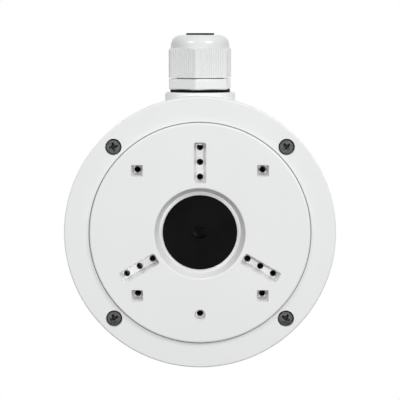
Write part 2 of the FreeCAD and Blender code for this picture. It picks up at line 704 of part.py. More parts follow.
def cut_grooves(body):
    """Three radial grooves with sloping sides, each with three tapped holes."""
    middle = GROOVE_MIDDLE
    floor_width = S.groove_width - S.recess_draft * 2
    floor_length = GROOVE_LENGTH - S.recess_draft * 2
    mouth = new_sketch(body, "GrooveMouth", "XZ_Plane", MOUNTING_FACE)
    draw_rounded_rectangle(mouth, ZERO, middle, S.groove_width, GROOVE_LENGTH, S.groove_corner)
    floor = new_sketch(body, "GrooveFloor", "XZ_Plane", SEAT_FACE)
    draw_rounded_rectangle(floor, ZERO, middle, floor_width, floor_length, S.groove_corner / 2)
    recess = tapered_pocket(body, mouth, floor, "Groove")
    around_axis(body, [recess], "Y_Axis", 3, "Grooves")
    holes = new_sketch(body, "GrooveHoleSketch", "XZ_Plane", SEAT_FACE)
    for steps_out in (-1, 0, 1):
        height = middle + S.groove_hole_step * steps_out
        draw_circle(holes, ZERO, height, S.camera_hole_radius)
    hole_cut = pocket(body, holes, S.camera_seat_plate, "GrooveHole")
    around_axis(body, [hole_cut], "Y_Axis", 3, "GrooveHoles")


def cut_pockets(body):
    """Four square pockets that narrow to one tapped hole each."""
    narrow_side = S.pocket_side - S.recess_draft * 2
    mouth = new_sketch(body, "PocketMouth", "XZ_Plane", MOUNTING_FACE)
    side, corner = S.pocket_side, S.pocket_corner
    draw_rounded_rectangle(mouth, POCKET_OFFSET, POCKET_OFFSET, side, side, corner)
    floor = new_sketch(body, "PocketFloor", "XZ_Plane", SEAT_FACE)
    draw_rounded_rectangle(floor, POCKET_OFFSET, POCKET_OFFSET, narrow_side, narrow_side, corner / 2)
    recess = tapered_pocket(body, mouth, floor, "SquarePocket")
    around_axis(body, [recess], "Y_Axis", 4, "SquarePockets")
    hole = new_sketch(body, "PocketHoleSketch", "XZ_Plane", SEAT_FACE)
    draw_circle(hole, POCKET_OFFSET, POCKET_OFFSET, S.camera_hole_radius)
    hole_cut = pocket(body, hole, S.camera_seat_plate, "PocketHole")
    around_axis(body, [hole_cut], "Y_Axis", 4, "PocketHoles")


def cut_lower_hole(body):
    """The single tapped hole in a round recess below the centre."""
    mouth = new_sketch(body, "LowerMouth", "XZ_Plane", MOUNTING_FACE)
    draw_circle(mouth, ZERO, -LOWER_HOLE, S.lower_recess_radius)
    floor = new_sketch(body, "LowerFloor", "XZ_Plane", LOWER_SEAT_FACE)
    draw_circle(floor, ZERO, -LOWER_HOLE, S.lower_recess_radius - S.lower_draft)
    tapered_pocket(body, mouth, floor, "LowerRecess")
    hole = new_sketch(body, "LowerHoleSketch", "XZ_Plane", LOWER_SEAT_FACE)
    draw_circle(hole, ZERO, -LOWER_HOLE, S.camera_hole_radius)
    pocket(body, hole, S.camera_seat_plate, "LowerHole")


# Rubber pieces of the box

def cover_seal():
    """The ring that lies in the groove of the base under the cover's tongue."""
    body = new_body("cover_seal")
    inside = SEAL_CIRCLE - S.seal_width / 2
    outside = SEAL_CIRCLE + S.seal_width / 2
    section = depth_section(body, "SealSection")
    top = SEAL_SEAT + S.seal_height
    draw_outline(section, [(inside, SEAL_SEAT), (outside, SEAL_SEAT), (outside, top), (inside, top)])
    revolve(body, section, "SealRing")
    return body


def centre_grommet():
    """The rubber grommet buttoned into the ledge, with a lipped hole for the camera's cable."""
    body = new_body("centre_grommet")
    neck = LEDGE_HOLE - S.grommet_neck_gap
    front = LEDGE_FACE + S.grommet_front
    back = LEDGE_BACK - S.grommet_back
    section = depth_section(body, "GrommetSection")
    draw_outline(section, [
        (S.camera_cable_radius, back),
        (GROMMET_BACK, back),
        (GROMMET_BACK, LEDGE_BACK),
        (neck, LEDGE_BACK),
        (neck, LEDGE_FACE),
        (GROMMET_FRONT, LEDGE_FACE),
        (GROMMET_FRONT, front),
        (S.lip_radius, front),
        (S.lip_radius, front + S.lip_height),
        (S.camera_cable_radius, front + S.lip_height),
    ])
    revolve(body, section, "GrommetTurned")
    front_edge = ring_edges(body, GROMMET_FRONT, front, FORWARD)
    round_edges(body, front_edge, S.grommet_round, "FrontRound")
    return body


def rear_hole_plug():
    """The hollow rubber plug buttoned into the rear cable hole."""
    body = new_body("rear_hole_plug")
    neck = S.rear_entry_radius - S.plug_gap
    hollow = neck - S.plug_wall
    flange_top = S.back_plate + S.plug_flange
    section = depth_section(body, "PlugSection")
    draw_outline(section, [
        (ZERO, S.plug_inset),
        (S.plug_lip_radius, S.plug_inset),
        (S.plug_lip_radius, S.rear_seat_depth),
        (neck, S.rear_seat_depth),
        (neck, S.back_plate),
        (S.plug_flange_radius, S.back_plate),
        (S.plug_flange_radius, flange_top),
        (hollow, flange_top),
        (hollow, S.plug_inset + S.plug_wall),
        (ZERO, S.plug_inset + S.plug_wall),
    ])
    revolve(body, section, "PlugTurned")
    body.setExpression(".Placement.Base.z", (-REAR_DROP).text)
    return body


# Screws and their rings

def place_facing_front(body, across, depth, height, spin):
    """Stands a piece made along +Z so that it points to the front, turned about its own axis."""
    stand = FreeCAD.Rotation(FreeCAD.Vector(1, 0, 0), 90)
    turn = FreeCAD.Rotation(FreeCAD.Vector(0, 0, 1), spin)
    body.Placement = FreeCAD.Placement(FreeCAD.Vector(0, 0, 0), stand * turn)
    body.setExpression(".Placement.Base.x", across.text)
    body.setExpression(".Placement.Base.y", (-depth).text)
    body.setExpression(".Placement.Base.z", height.text)


def pan_head_screw(name, length):
    """A pan head screw with a cross recess. Its own origin is the seat of the head."""
    body = new_body(name)
    section = height_section(body, f"{name}_section")
    draw_outline(section, [
        (ZERO, -length),
        (S.shank_radius - S.shank_end_bevel, -length),
        (S.shank_radius, -length + S.shank_end_bevel),
        (S.shank_radius, ZERO),
        (S.head_radius, ZERO),
        (S.head_radius, S.head_height),
        (ZERO, S.head_height),
    ])
    revolve(body, section, f"{name}_turned")
    head_edge = ring_edges(body, S.head_radius, S.head_height, UPWARD)
    round_edges(body, head_edge, S.head_round, f"{name}_head_round")
    span, width = S.cross_span / 2, S.cross_width / 2
    cross = new_sketch(body, f"{name}_cross", "XY_Plane", S.head_height)
    draw_outline(cross, [
        (span, -width), (span, width), (width, width), (width, span),
        (-width, span), (-width, width), (-span, width), (-span, -width),
        (-width, -width), (-width, -span), (width, -span), (width, -width),
    ])
    pocket(body, cross, S.cross_depth, f"{name}_recess")
    return body


def plain_ring(name, inside, outside, height):
    """A plain flat ring. Its own origin is the centre of its lower face."""
    body = new_body(name)
    section = height_section(body, f"{name}_section")
    draw_outline(section, [(inside, ZERO), (outside, ZERO), (outside, height), (inside, height)])
    revolve(body, section, f"{name}_turned")
    return body


def cover_screws():
    """The four cover screws, as they were left, and the rubber rings that keep them captive."""
    pieces = []
    for number, (side, level, spin) in enumerate(SCREW_PLACES, start=1):
        across = SCREW_OFFSET * side
        height = SCREW_OFFSET * level
        screw = pan_head_screw(f"cover_screw_{number}", S.cover_screw_length)
        place_facing_front(screw, across, HEAD_SEAT, height, spin)
        ring = plain_ring(
            f"screw_retainer_{number}", THREAD_HOLE, S.retainer_radius, S.retainer_height
        )
        place_facing_front(ring, across, S.base_depth, height, 0)
        pieces += [screw, ring]
    return pieces


def earth_terminal():
    """The earth screw and its washer on the post in the base."""
    washer = plain_ring(
        "earth_washer", PASSING_HOLE, S.earth_washer_radius, S.earth_washer_height
    )
    place_facing_front(washer, EARTH_PLACE, EARTH_SEAT, -EARTH_PLACE, 0)
    screw = pan_head_screw("earth_screw", S.earth_screw_length)
    screw_seat = EARTH_SEAT + S.earth_washer_height
    place_facing_front(screw, EARTH_PLACE, screw_seat, -EARTH_PLACE, EARTH_SCREW_TURN)
    return [washer, screw]


# The cable gland, each piece turned about the gland's upright axis

def place_on_gland_axis(body):
    body.setExpression(".Placement.Base.y", (-S.gland_depth).text)
    return body


def draw_hexagon(sketch, flats):
    """A hexagon with one corner near the front, turned by hex_turn."""
    corner_radius = flats / math.sqrt(3)
    corners = []
    for corner in range(6):
        angle = f"(270 - Sizes.hex_turn + {60 * corner})"
        turned = math.radians(270 - S.hex_turn.value + 60 * corner)
        across = Size(math.cos(turned), f"cos({angle} * 1 deg)") * corner_radius
        along = Size(math.sin(turned), f"sin({angle} * 1 deg)") * corner_radius
        corners.append((across, along))
    draw_outline(sketch, corners)


def gland_body():
    """Hexagon with a thread below for the boss and a thread above for the cap nut."""
    body = new_body("gland_body")
    hexagon = new_sketch(body, "HexagonSketch", "XY_Plane", GASKET_TOP)
    draw_hexagon(hexagon, S.hex_flats)
    pad(body, hexagon, S.hex_height, "Hexagon")
    round_edges(body, upright_edges(body, GASKET_TOP, HEX_TOP), S.hex_corner, "HexagonCorners")
    corner_radius = S.hex_flats / math.sqrt(3)
    corner_cut = height_section(body, "CornerCutSection")
    draw_outline(corner_cut, [
        (corner_radius - S.hex_chamfer * 2, GASKET_TOP),
        (corner_radius + S.hex_chamfer, GASKET_TOP),
        (corner_radius + S.hex_chamfer, GASKET_TOP + S.hex_chamfer * 1.5),
    ])
    groove(body, corner_cut, "CornerCut")
    studs = height_section(body, "StudSection")
    draw_outline(studs, [
        (S.gland_bore_radius, STUD_FOOT),
        (S.stud_radius, STUD_FOOT),
        (S.stud_radius, GASKET_TOP),
        (S.outer_stud_radius, GASKET_TOP),
        (S.outer_stud_radius, STUD_TOP),
        (S.gland_bore_radius, STUD_TOP),
    ])
    revolve(body, studs, "Studs")
    bore = height_section(body, "BoreSection")
    draw_outline(bore, [
        (ZERO, STUD_FOOT),
        (S.gland_bore_radius, STUD_FOOT),
        (S.gland_bore_radius, CLAW_FOOT - S.nut_gap),
        (CLAW_BORE, CLAW_FOOT - S.nut_gap),
        (CLAW_BORE, STUD_TOP),
        (ZERO, STUD_TOP),
    ])
    groove(body, bore, "Bore")
    return place_on_gland_axis(body)


def gland_gasket():
    body = plain_ring(
        "gland_gasket", S.stud_radius + S.gasket_gap, S.gasket_radius, S.gasket_height
    )
    body.setExpression(".Placement.Base.z", BOSS_TOP.text)
    return place_on_gland_axis(body)


def gland_cap_nut():
    """Domed cap nut with a ribbed hexagonal grip whose corners run out into the dome."""
    body = new_body("gland_cap_nut")
    corner_radius = S.nut_flats / math.sqrt(3)
    hexagon = new_sketch(body, "GripSketch", "XY_Plane", NUT_FOOT)
    draw_hexagon(hexagon, S.nut_flats)
    pad(body, hexagon, S.nut_height, "Grip")
    round_edges(body, upright_edges(body, NUT_FOOT, NUT_TOP), S.nut_corner, "GripCorners")
    dome_foot = NUT_TOP - S.dome_height
    beyond = corner_radius + BEYOND
    dome_cut = height_section(body, "DomeCutSection")
    draw_outline(dome_cut, [
        (corner_radius, dome_foot - S.dome_flare),
        (S.dome_radius, dome_foot),
        (S.dome_top_radius, NUT_TOP),
        (S.dome_top_radius, NUT_TOP + BEYOND),
        (beyond, NUT_TOP + BEYOND),
        (beyond, dome_foot - S.dome_flare),
    ])
    groove(body, dome_cut, "DomeCut")
    shoulder = ring_edges(body, S.dome_top_radius, NUT_TOP, UPWARD)
    round_edges(body, shoulder, S.dome_round, "DomeRound")
    inside = height_section(body, "NutInsideSection")
    draw_outline(inside, [
        (ZERO, NUT_FOOT),
        (NUT_BORE, NUT_FOOT),
        (NUT_BORE, CONE_FOOT),
        (S.nut_hole_radius, CONE_TOP),
        (S.nut_hole_radius, NUT_TOP),
        (ZERO, NUT_TOP),
    ])
    groove(body, inside, "NutInside")
    cut_ribs(body)
    return place_on_gland_axis(body)


def cut_ribs(body):
    """Fine upright grooves across each flat, from the plain rim up into the dome's flare."""
    flat_distance = S.nut_flats / 2
    foot = NUT_FOOT + S.nut_rim
    height = NUT_TOP - S.dome_height - foot
    notch = new_sketch(body, "RibSketch", "XY_Plane", foot)
    first = -(S.rib_pitch * ((S.rib_count.value - 1) / 2))
    turn = FreeCAD.Rotation(FreeCAD.Vector(0, 0, 1), -S.hex_turn.value)
    notch.AttachmentOffset = FreeCAD.Placement(notch.AttachmentOffset.Base, turn)
    for number in range(int(S.rib_count.value)):
        middle = first + S.rib_pitch * number
        draw_outline(notch, [
            (flat_distance - S.rib_depth, middle),
            (flat_distance + S.rib_depth, middle + S.rib_width),
            (flat_distance + S.rib_depth, middle - S.rib_width),
        ])
    cut = pocket(body, notch, height, "Ribs", reversed_cut=True)
    around_axis(body, [cut], "Z_Axis", 6, "RibsAllRound")


def gland_claw():
    """Slotted claw that the nut's cone presses on the seal insert."""
    body = new_body("gland_claw")
    collar_outside = NUT_BORE - S.claw_gap
    section = height_section(body, "ClawSection")
    draw_outline(section, [
        (S.insert_bore_radius + S.claw_gap, CLAW_FOOT),
        (CLAW_OUTSIDE, CLAW_FOOT),
        (CLAW_OUTSIDE, COLLAR_FOOT),
        (collar_outside, COLLAR_FOOT),
        (collar_outside, COLLAR_TOP),
        (CLAW_OUTSIDE, COLLAR_TOP),
        (CLAW_OUTSIDE, CLAW_TOP - S.claw_tip_bevel * 2),
        (CLAW_OUTSIDE - S.claw_tip_bevel, CLAW_TOP),
        (CLAW_INSIDE, CLAW_TOP),
        (CLAW_INSIDE, INSERT_FOOT),
        (S.insert_bore_radius + S.claw_gap, INSERT_FOOT),
    ])
    revolve(body, section, "ClawTurned")
    slot = new_sketch(body, "SlotSketch", "XY_Plane", COLLAR_TOP)
    reach = CLAW_OUTSIDE + BEYOND
    slot_middle = (reach + S.insert_bore_radius) / 2
    draw_rectangle(slot, slot_middle, ZERO, reach - S.insert_bore_radius, S.claw_slot)
    cut = pocket(body, slot, S.claw_finger_height, "Slot", reversed_cut=True)
    around_axis(body, [cut], "Z_Axis", int(S.claw_finger_count.value), "Slots")
    return place_on_gland_axis(body)


def gland_seal_insert():
    """Rubber sleeve that grips the cable and stands a little proud of the cap nut."""
    body = plain_ring(
        "gland_seal_insert",
        S.insert_bore_radius,
        S.insert_radius,
        NUT_TOP + S.insert_proud - INSERT_FOOT,
    )
    body.setExpression(".Placement.Base.z", INSERT_FOOT.text)
    return place_on_gland_axis(body)


def check_document():
    """Stops if any object failed to compute."""
    for item in DOCUMENT.Objects:
        if "Invalid" in item.State or "Error" in item.State:
            raise ValueError(f"{item.Label} is not valid: {item.State}")


def export(pieces):
    os.makedirs("parts", exist_ok=True)
    for piece in pieces:
        shape = piece.Shape
        if shape.isNull() or not shape.isValid() or len(shape.Solids) != 1:
            raise ValueError(f"{piece.Label} is not one valid solid")
    for piece in pieces:
        piece.Shape.exportStep(os.path.join("parts", f"{piece.Label}.step"))


PIECES = [
    base_housing(),
    front_cover(),
    cover_seal(),
    centre_grommet(),
    rear_hole_plug(),
    gland_body(),
    gland_gasket(),
    gland_cap_nut(),
    gland_claw(),
    gland_seal_insert(),
]
PIECES += cover_screws()
PIECES += earth_terminal()
DOCUMENT.recompute()
check_document()
export(PIECES)
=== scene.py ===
import json
import math

import bmesh
import bpy
from mathutils import Matrix, Vector


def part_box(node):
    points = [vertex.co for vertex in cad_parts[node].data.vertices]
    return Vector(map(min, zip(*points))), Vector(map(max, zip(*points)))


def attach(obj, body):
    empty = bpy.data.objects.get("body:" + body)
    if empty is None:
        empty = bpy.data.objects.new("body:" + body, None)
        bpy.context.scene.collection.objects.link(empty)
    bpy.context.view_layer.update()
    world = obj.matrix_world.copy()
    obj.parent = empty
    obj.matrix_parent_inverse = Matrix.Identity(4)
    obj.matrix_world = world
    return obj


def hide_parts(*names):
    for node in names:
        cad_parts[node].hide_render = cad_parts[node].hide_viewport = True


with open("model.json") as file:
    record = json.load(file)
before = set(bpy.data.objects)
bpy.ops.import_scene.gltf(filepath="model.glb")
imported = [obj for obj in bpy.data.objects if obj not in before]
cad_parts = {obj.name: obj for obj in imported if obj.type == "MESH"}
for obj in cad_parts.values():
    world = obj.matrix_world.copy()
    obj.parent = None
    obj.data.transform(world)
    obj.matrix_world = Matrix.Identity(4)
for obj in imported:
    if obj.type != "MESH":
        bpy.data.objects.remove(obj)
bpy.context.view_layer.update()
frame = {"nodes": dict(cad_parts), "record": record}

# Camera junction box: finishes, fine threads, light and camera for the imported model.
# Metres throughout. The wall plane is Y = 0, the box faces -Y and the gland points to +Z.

MM = 0.001
SLOT_OF_NODE = {part["node"]: part["material_slot"] for part in frame["record"]["subparts"]}


# Shader nodes

# Places of a Mix node's low, high and result sockets for each kind of data.
MIX_SOCKETS = {"FLOAT": (2, 3, 0), "RGBA": (6, 7, 2)}


def add_node(tree, kind, **settings):
    """A node of that kind. Settings that name an input set its value, the others an attribute."""
    node = tree.nodes.new(kind)
    for name, value in settings.items():
        label = name.replace("_", " ")
        if label in node.inputs:
            node.inputs[label].default_value = value
        else:
            setattr(node, name, value)
    return node


def add_group(tree, group):
    """A node that stands for the group."""
    node = tree.nodes.new("ShaderNodeGroup")
    node.node_tree = group
    return node


def new_group(name, inputs, outputs):
    """An empty node group with its input and output nodes in place."""
    tree = bpy.data.node_groups.new(name, "ShaderNodeTree")
    for label, kind, value in inputs:
        socket = tree.interface.new_socket(label, in_out="INPUT", socket_type=kind)
        socket.default_value = value
    for label, kind in outputs:
        tree.interface.new_socket(label, in_out="OUTPUT", socket_type=kind)
    return tree, tree.nodes.new("NodeGroupInput"), tree.nodes.new("NodeGroupOutput")


def feed(tree, source, socket):
    """Links the source to the socket, or sets the socket where the source is a plain value."""
    if isinstance(source, bpy.types.NodeSocket):
        tree.links.new(source, socket)
    else:
        socket.default_value = source


def blend(tree, kind, factor, low, high):
    """low where factor is 0 and high where it is 1. Each is a socket or a plain value."""
    mix = add_node(tree, "ShaderNodeMix", data_type=kind)
    low_place, high_place, result_place = MIX_SOCKETS[kind]
    for place, source in ((0, factor), (low_place, low), (high_place, high)):
        feed(tree, source, mix.inputs[place])
    return mix.outputs[result_place]


def calculate(tree, operation, *sources):
    """The result of one sum on sockets and plain numbers."""
    node = add_node(tree, "ShaderNodeMath", operation=operation)
    for source, socket in zip(sources, node.inputs):
        feed(tree, source, socket)
    return node.outputs[0]


def combine(tree, operation, first, *others):
    """The same sum carried out on one socket after another."""
    result = first
    for other in others:
        result = calculate(tree, operation, result, other)
    return result


def grey(level):
    """An opaque grey."""
    return level, level, level, 1


def make_skin_group():
    """The fine skin that every finish shares: faint patches of tone and gloss, and a grain."""
    tree, given, result = new_group(
        "surface_skin",
        [
            ("Color", "NodeSocketColor", grey(0.8)),
            ("Second Color", "NodeSocketColor", grey(0.7)),
            ("Patch Scale", "NodeSocketFloat", 40.0),
            ("Grain Scale", "NodeSocketFloat", 900.0),
            ("Roughness Low", "NodeSocketFloat", 0.35),
            ("Roughness High", "NodeSocketFloat", 0.45),
        ],
        [("Color", "NodeSocketColor"), ("Roughness", "NodeSocketFloat"), ("Height", "NodeSocketFloat")],
    )
    where = tree.nodes.new("ShaderNodeTexCoord")
    patches = add_node(tree, "ShaderNodeTexNoise", Detail=3.0, Roughness=0.55)
    grain = add_node(tree, "ShaderNodeTexNoise", Detail=2.0, Roughness=0.5)
    for noise, scale in ((patches, "Patch Scale"), (grain, "Grain Scale")):
        tree.links.new(where.outputs["Object"], noise.inputs["Vector"])
        tree.links.new(given.outputs[scale], noise.inputs["Scale"])
    spread = add_node(tree, "ShaderNodeMapRange", From_Min=0.35, From_Max=0.65)
    tree.links.new(patches.outputs["Fac"], spread.inputs["Value"])
    tone = blend(
        tree, "RGBA", spread.outputs["Result"], given.outputs["Color"], given.outputs["Second Color"]
    )
    gloss = blend(
        tree, "FLOAT", grain.outputs["Fac"], given.outputs["Roughness Low"], given.outputs["Roughness High"]
    )
    tree.links.new(tone, result.inputs["Color"])
    tree.links.new(gloss, result.inputs["Roughness"])
    tree.links.new(grain.outputs["Fac"], result.inputs["Height"])
    return tree


SKIN = make_skin_group()


def new_finish(name, color, second, patch_scale, grain_scale, gloss, bump, **shader_values):
    """A material with the shared skin: its two tones, its range of roughness and its relief."""
    material = bpy.data.materials.new(name)
    material.use_nodes = True
    tree = material.node_tree
    shader = tree.nodes["Principled BSDF"]
    for label, value in shader_values.items():
        shader.inputs[label.replace("_", " ")].default_value = value
    skin = add_group(tree, SKIN)
    skin.inputs["Color"].default_value = (*color, 1)
    skin.inputs["Second Color"].default_value = (*second, 1)
    skin.inputs["Patch Scale"].default_value = patch_scale
    skin.inputs["Grain Scale"].default_value = grain_scale
    skin.inputs["Roughness Low"].default_value = gloss[0]
    skin.inputs["Roughness High"].default_value = gloss[1]
    relief = add_node(tree, "ShaderNodeBump", Strength=1.0, Distance=bump)
    tree.links.new(skin.outputs["Color"], shader.inputs["Base Color"])
    tree.links.new(skin.outputs["Roughness"], shader.inputs["Roughness"])
    tree.links.new(skin.outputs["Height"], relief.inputs["Height"])
    tree.links.new(relief.outputs["Normal"], shader.inputs["Normal"])
    return material


def tint(material, mask, level):
    """Gives the material a grey of that level where the mask is 1."""
    tree = material.node_tree
    base = tree.nodes["Principled BSDF"].inputs["Base Color"]
    tone = blend(tree, "RGBA", mask, base.links[0].from_socket, grey(level))
    tree.links.new(tone, base)


# Finishes

WHITE_COAT = new_finish(
    "white_powder_coat",
    color=(0.84, 0.845, 0.85),
    second=(0.825, 0.83, 0.835),
    patch_scale=25.0,
    grain_scale=1100.0,
    gloss=(0.34, 0.44),
    bump=0.012 * MM,
    Coat_Weight=0.15,
    Coat_Roughness=0.2,
)
GLAND_NYLON = new_finish(
    "gland_nylon",
    color=(0.78, 0.785, 0.79),
    second=(0.76, 0.765, 0.77),
    patch_scale=60.0,
    grain_scale=2600.0,
    gloss=(0.14, 0.20),
    bump=0.003 * MM,
)
CLAW_NYLON = new_finish(
    "claw_nylon",
    color=(0.74, 0.74, 0.71),
    second=(0.70, 0.70, 0.67),
    patch_scale=60.0,
    grain_scale=2600.0,
    gloss=(0.42, 0.52),
    bump=0.005 * MM,
)
BLACK_RUBBER = new_finish(
    "black_rubber",
    color=(0.004, 0.004, 0.0042),
    second=(0.006, 0.006, 0.0062),
    patch_scale=70.0,
    grain_scale=2200.0,
    gloss=(0.6, 0.75),
    bump=0.01 * MM,
    Specular_IOR_Level=0.05,
)
SCREW_STEEL = new_finish(
    "cover_screw_steel",
    color=(0.11, 0.11, 0.113),
    second=(0.15, 0.15, 0.153),
    patch_scale=500.0,
    grain_scale=4000.0,
    gloss=(0.22, 0.34),
    bump=0.004 * MM,
    Metallic=1.0,
)
EARTH_STEEL = new_finish(
    "earth_steel",
    color=(0.62, 0.61, 0.57),
    second=(0.56, 0.55, 0.52),
    patch_scale=400.0,
    grain_scale=4000.0,
    gloss=(0.25, 0.38),
    bump=0.004 * MM,
    Metallic=1.0,
)

FINISH_OF_SLOT = {
    "white_casting": WHITE_COAT,
    "gland_nylon": GLAND_NYLON,
    "claw_nylon": CLAW_NYLON,
    "black_rubber": BLACK_RUBBER,
    "cover_screw_steel": SCREW_STEEL,
    "earth_steel": EARTH_STEEL,
}

for node, slot in SLOT_OF_NODE.items():
    materials = frame["nodes"][node].data.materials
    materials.clear()
    materials.append(FINISH_OF_SLOT[slot])


# Tones of the cover

# Two places on the cover have painted light and shade in their colour: painted shade along the fine
# groove round the mounting face, and painted light in the recesses inside it, to make them brighter.
# Insets are from the cover's edge, and depths from its mounting face.
GROOVE_INSET = 12.65 * MM
GROOVE_DEPTH = 2.5 * MM
GROOVE_HALF_WIDTH = 0.3 * MM
GROOVE_PAINTED_SHADE = 0.3
RECESS_INSET = 18.3 * MM
RECESS_LEAST_DEPTH = 0.2 * MM
RECESS_MOST_DEPTH = 12.0 * MM
RECESS_PAINTED_LIGHT = 0.95


def make_cover_group():
    """Masks of the fine groove round the mounting face and of the recesses in it, for painted shade and
    light.
    """
    tree, _, result = new_group(
        "cover_masks", [], [("Groove", "NodeSocketFloat"), ("Recess", "NodeSocketFloat")]
    )
    low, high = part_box("front_cover")
    edge, face = high.x, low.y
    where = tree.nodes.new("ShaderNodeTexCoord")
    split = tree.nodes.new("ShaderNodeSeparateXYZ")
    flat = tree.nodes.new("ShaderNodeCombineXYZ")
    away = add_node(tree, "ShaderNodeVectorMath", operation="LENGTH")
    tree.links.new(where.outputs["Object"], split.inputs[0])
    tree.links.new(split.outputs["X"], flat.inputs["X"])
    tree.links.new(split.outputs["Z"], flat.inputs["Y"])
    tree.links.new(flat.outputs[0], away.inputs[0])
    radius, place = away.outputs["Value"], split.outputs["Y"]
    groove = combine(
        tree,
        "MULTIPLY",
        calculate(tree, "COMPARE", radius, edge - GROOVE_INSET, GROOVE_HALF_WIDTH),
        calculate(tree, "COMPARE", place, face + GROOVE_DEPTH, GROOVE_HALF_WIDTH),
    )
    recess = combine(
        tree,
        "MULTIPLY",
        calculate(tree, "LESS_THAN", radius, edge - RECESS_INSET),
        calculate(tree, "GREATER_THAN", place, face + RECESS_LEAST_DEPTH),
        calculate(tree, "LESS_THAN", place, face + RECESS_MOST_DEPTH),
    )
    tree.links.new(groove, result.inputs["Groove"])
    tree.links.new(recess, result.inputs["Recess"])
    return tree


def paint_cover_shade_and_light():
    """Paints shade into the groove and light into the recesses of the cover."""
    masks = add_group(WHITE_COAT.node_tree, make_cover_group())
    # Painted shade darkens the groove, and painted light brightens the recesses.
    tint(WHITE_COAT, masks.outputs["Groove"], GROOVE_PAINTED_SHADE)
    tint(WHITE_COAT, masks.outputs["Recess"], RECESS_PAINTED_LIGHT)


paint_cover_shade_and_light()


# Turned pieces, made of rings round their own axis

SMOOTH_BELOW = math.radians(35)


def turned_mesh(name, rings, steps, ring_shaped):
    """A mesh through rings. Each ring is a function that gives radius and height for an angle."""
    form = bmesh.new()
    rows = []
    for outline in rings:
        row = []
        for step in range(steps):
            angle = 2 * math.pi * step / steps
            radius, height = outline(angle)
            row.append(form.verts.new((radius * math.cos(angle), radius * math.sin(angle), height)))
        rows.append(row)
    pairs = list(zip(rows, rows[1:]))
    if ring_shaped:
        pairs.append((rows[-1], rows[0]))
    else:
        form.faces.new(rows[0])
        form.faces.new(reversed(rows[-1]))
    for row, following in pairs:
        for step in range(steps):
            after = (step + 1) % steps
            form.faces.new((row[after], row[step], following[step], following[after]))
    bmesh.ops.recalc_face_normals(form, faces=form.faces)
    mesh = bpy.data.meshes.new(name)
    form.to_mesh(mesh)
    form.free()
    mesh.polygons.foreach_set("use_smooth", [True] * len(mesh.polygons))
    mesh.set_sharp_from_angle(angle=SMOOTH_BELOW)
    return mesh


def stand_in_for(node, name, mesh, place):
    """Shows the mesh in place of a CAD node, on its body and with its material slot."""
    mesh.transform(place)
    piece = bpy.data.objects.new(name, mesh)
    bpy.context.scene.collection.objects.link(piece)
    slot = SLOT_OF_NODE[node]
    mesh.materials.append(FINISH_OF_SLOT[slot])
    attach(piece, "housing")
    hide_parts(node)


def level_ring(radius, height):
    """A plain round ring."""
    return lambda angle: (radius, height)


def held(value):
    """The value, held between 0 and 1."""
    return max(0.0, min(1.0, value))


# Cross recessed pan head screws

HEAD_RADIUS = 3.85 * MM
HEAD_HEIGHT = 2.6 * MM
HEAD_ROUND = 0.9 * MM
CROWN_DIP = 0.25 * MM
SHANK_RADIUS = 2.0 * MM
SHANK_BEVEL = 0.5 * MM
SCREW_STEPS = 192
FINE_RINGS = 40
ROUND_RINGS = 8

CROSS_REACH = 2.15 * MM
CROSS_HALF_WIDTH = 0.55 * MM
CROSS_DEPTH = 1.7 * MM
CROSS_RISE = 0.7
CROSS_WALL = 0.16 * MM
CORE_RADIUS = 1.25 * MM
CORE_WALL = 0.4 * MM

# The cross recess is painted dark inside, as painted shade. The screw's mesh says where, in this attribute.
CROSS_SHADE = "cross_shade"
CROSS_SHADE_TONE = 0.035
SHADE_DEPTH = 0.6 * MM


def cross_depth(across, along):
    """Depth of the cross recess at a place on the head: four arms that rise outwards, and a core."""
    depth = 0.0
    for lengthwise, sideways in ((abs(across), abs(along)), (abs(along), abs(across))):
        floor = CROSS_DEPTH * (1 - CROSS_RISE * lengthwise / CROSS_REACH)
        side = (CROSS_HALF_WIDTH - sideways) / CROSS_WALL
        end = (CROSS_REACH - lengthwise) / CROSS_WALL
        depth = max(depth, floor * held(min(side, end)))
    core = (CORE_RADIUS - math.hypot(across, along)) / CORE_WALL
    return max(depth, CROSS_DEPTH * held(core))


def head_ring(radius):
    """A ring on top of the head, which is slightly crowned and carries the cross recess."""
    crown = HEAD_HEIGHT - CROWN_DIP * (radius / (HEAD_RADIUS - HEAD_ROUND)) ** 2

    def outline(angle):
        depth = cross_depth(radius * math.cos(angle), radius * math.sin(angle))
        return radius, crown - depth

    return outline


def mark_cross(mesh):
    """Writes how far inside the cross recess each point of the screw lies, from 0 to 1."""
    lowest = HEAD_HEIGHT - CROWN_DIP - CROSS_DEPTH - SHADE_DEPTH
    shade = mesh.attributes.new(CROSS_SHADE, "FLOAT", "POINT")
    for vertex, mark in zip(mesh.vertices, shade.data):
        across, along, height = vertex.co
        depth = cross_depth(across, along) if height > lowest else 0.0
        mark.value = held(depth / SHADE_DEPTH)


def screw_mesh(name, length):
    """A pan head screw on its own axis, with the seat of its head at height 0."""
    fine_end = CROSS_REACH + CROSS_WALL
    rings = [head_ring(fine_end * (index + 0.5) / FINE_RINGS) for index in range(FINE_RINGS)]
    round_foot = HEAD_HEIGHT - CROWN_DIP - HEAD_ROUND
    for index in range(ROUND_RINGS + 1):
        turn = math.pi / 2 * index / ROUND_RINGS
        radius = HEAD_RADIUS - HEAD_ROUND + HEAD_ROUND * math.sin(turn)
        rings.append(level_ring(radius, round_foot + HEAD_ROUND * math.cos(turn)))
    rings += [
        level_ring(HEAD_RADIUS, 0.0),
        level_ring(SHANK_RADIUS, 0.0),
        level_ring(SHANK_RADIUS, SHANK_BEVEL - length),
        level_ring(SHANK_RADIUS - SHANK_BEVEL, -length),
    ]
    mesh = turned_mesh(name, rings, SCREW_STEPS, ring_shaped=False)
    mark_cross(mesh)
    return mesh


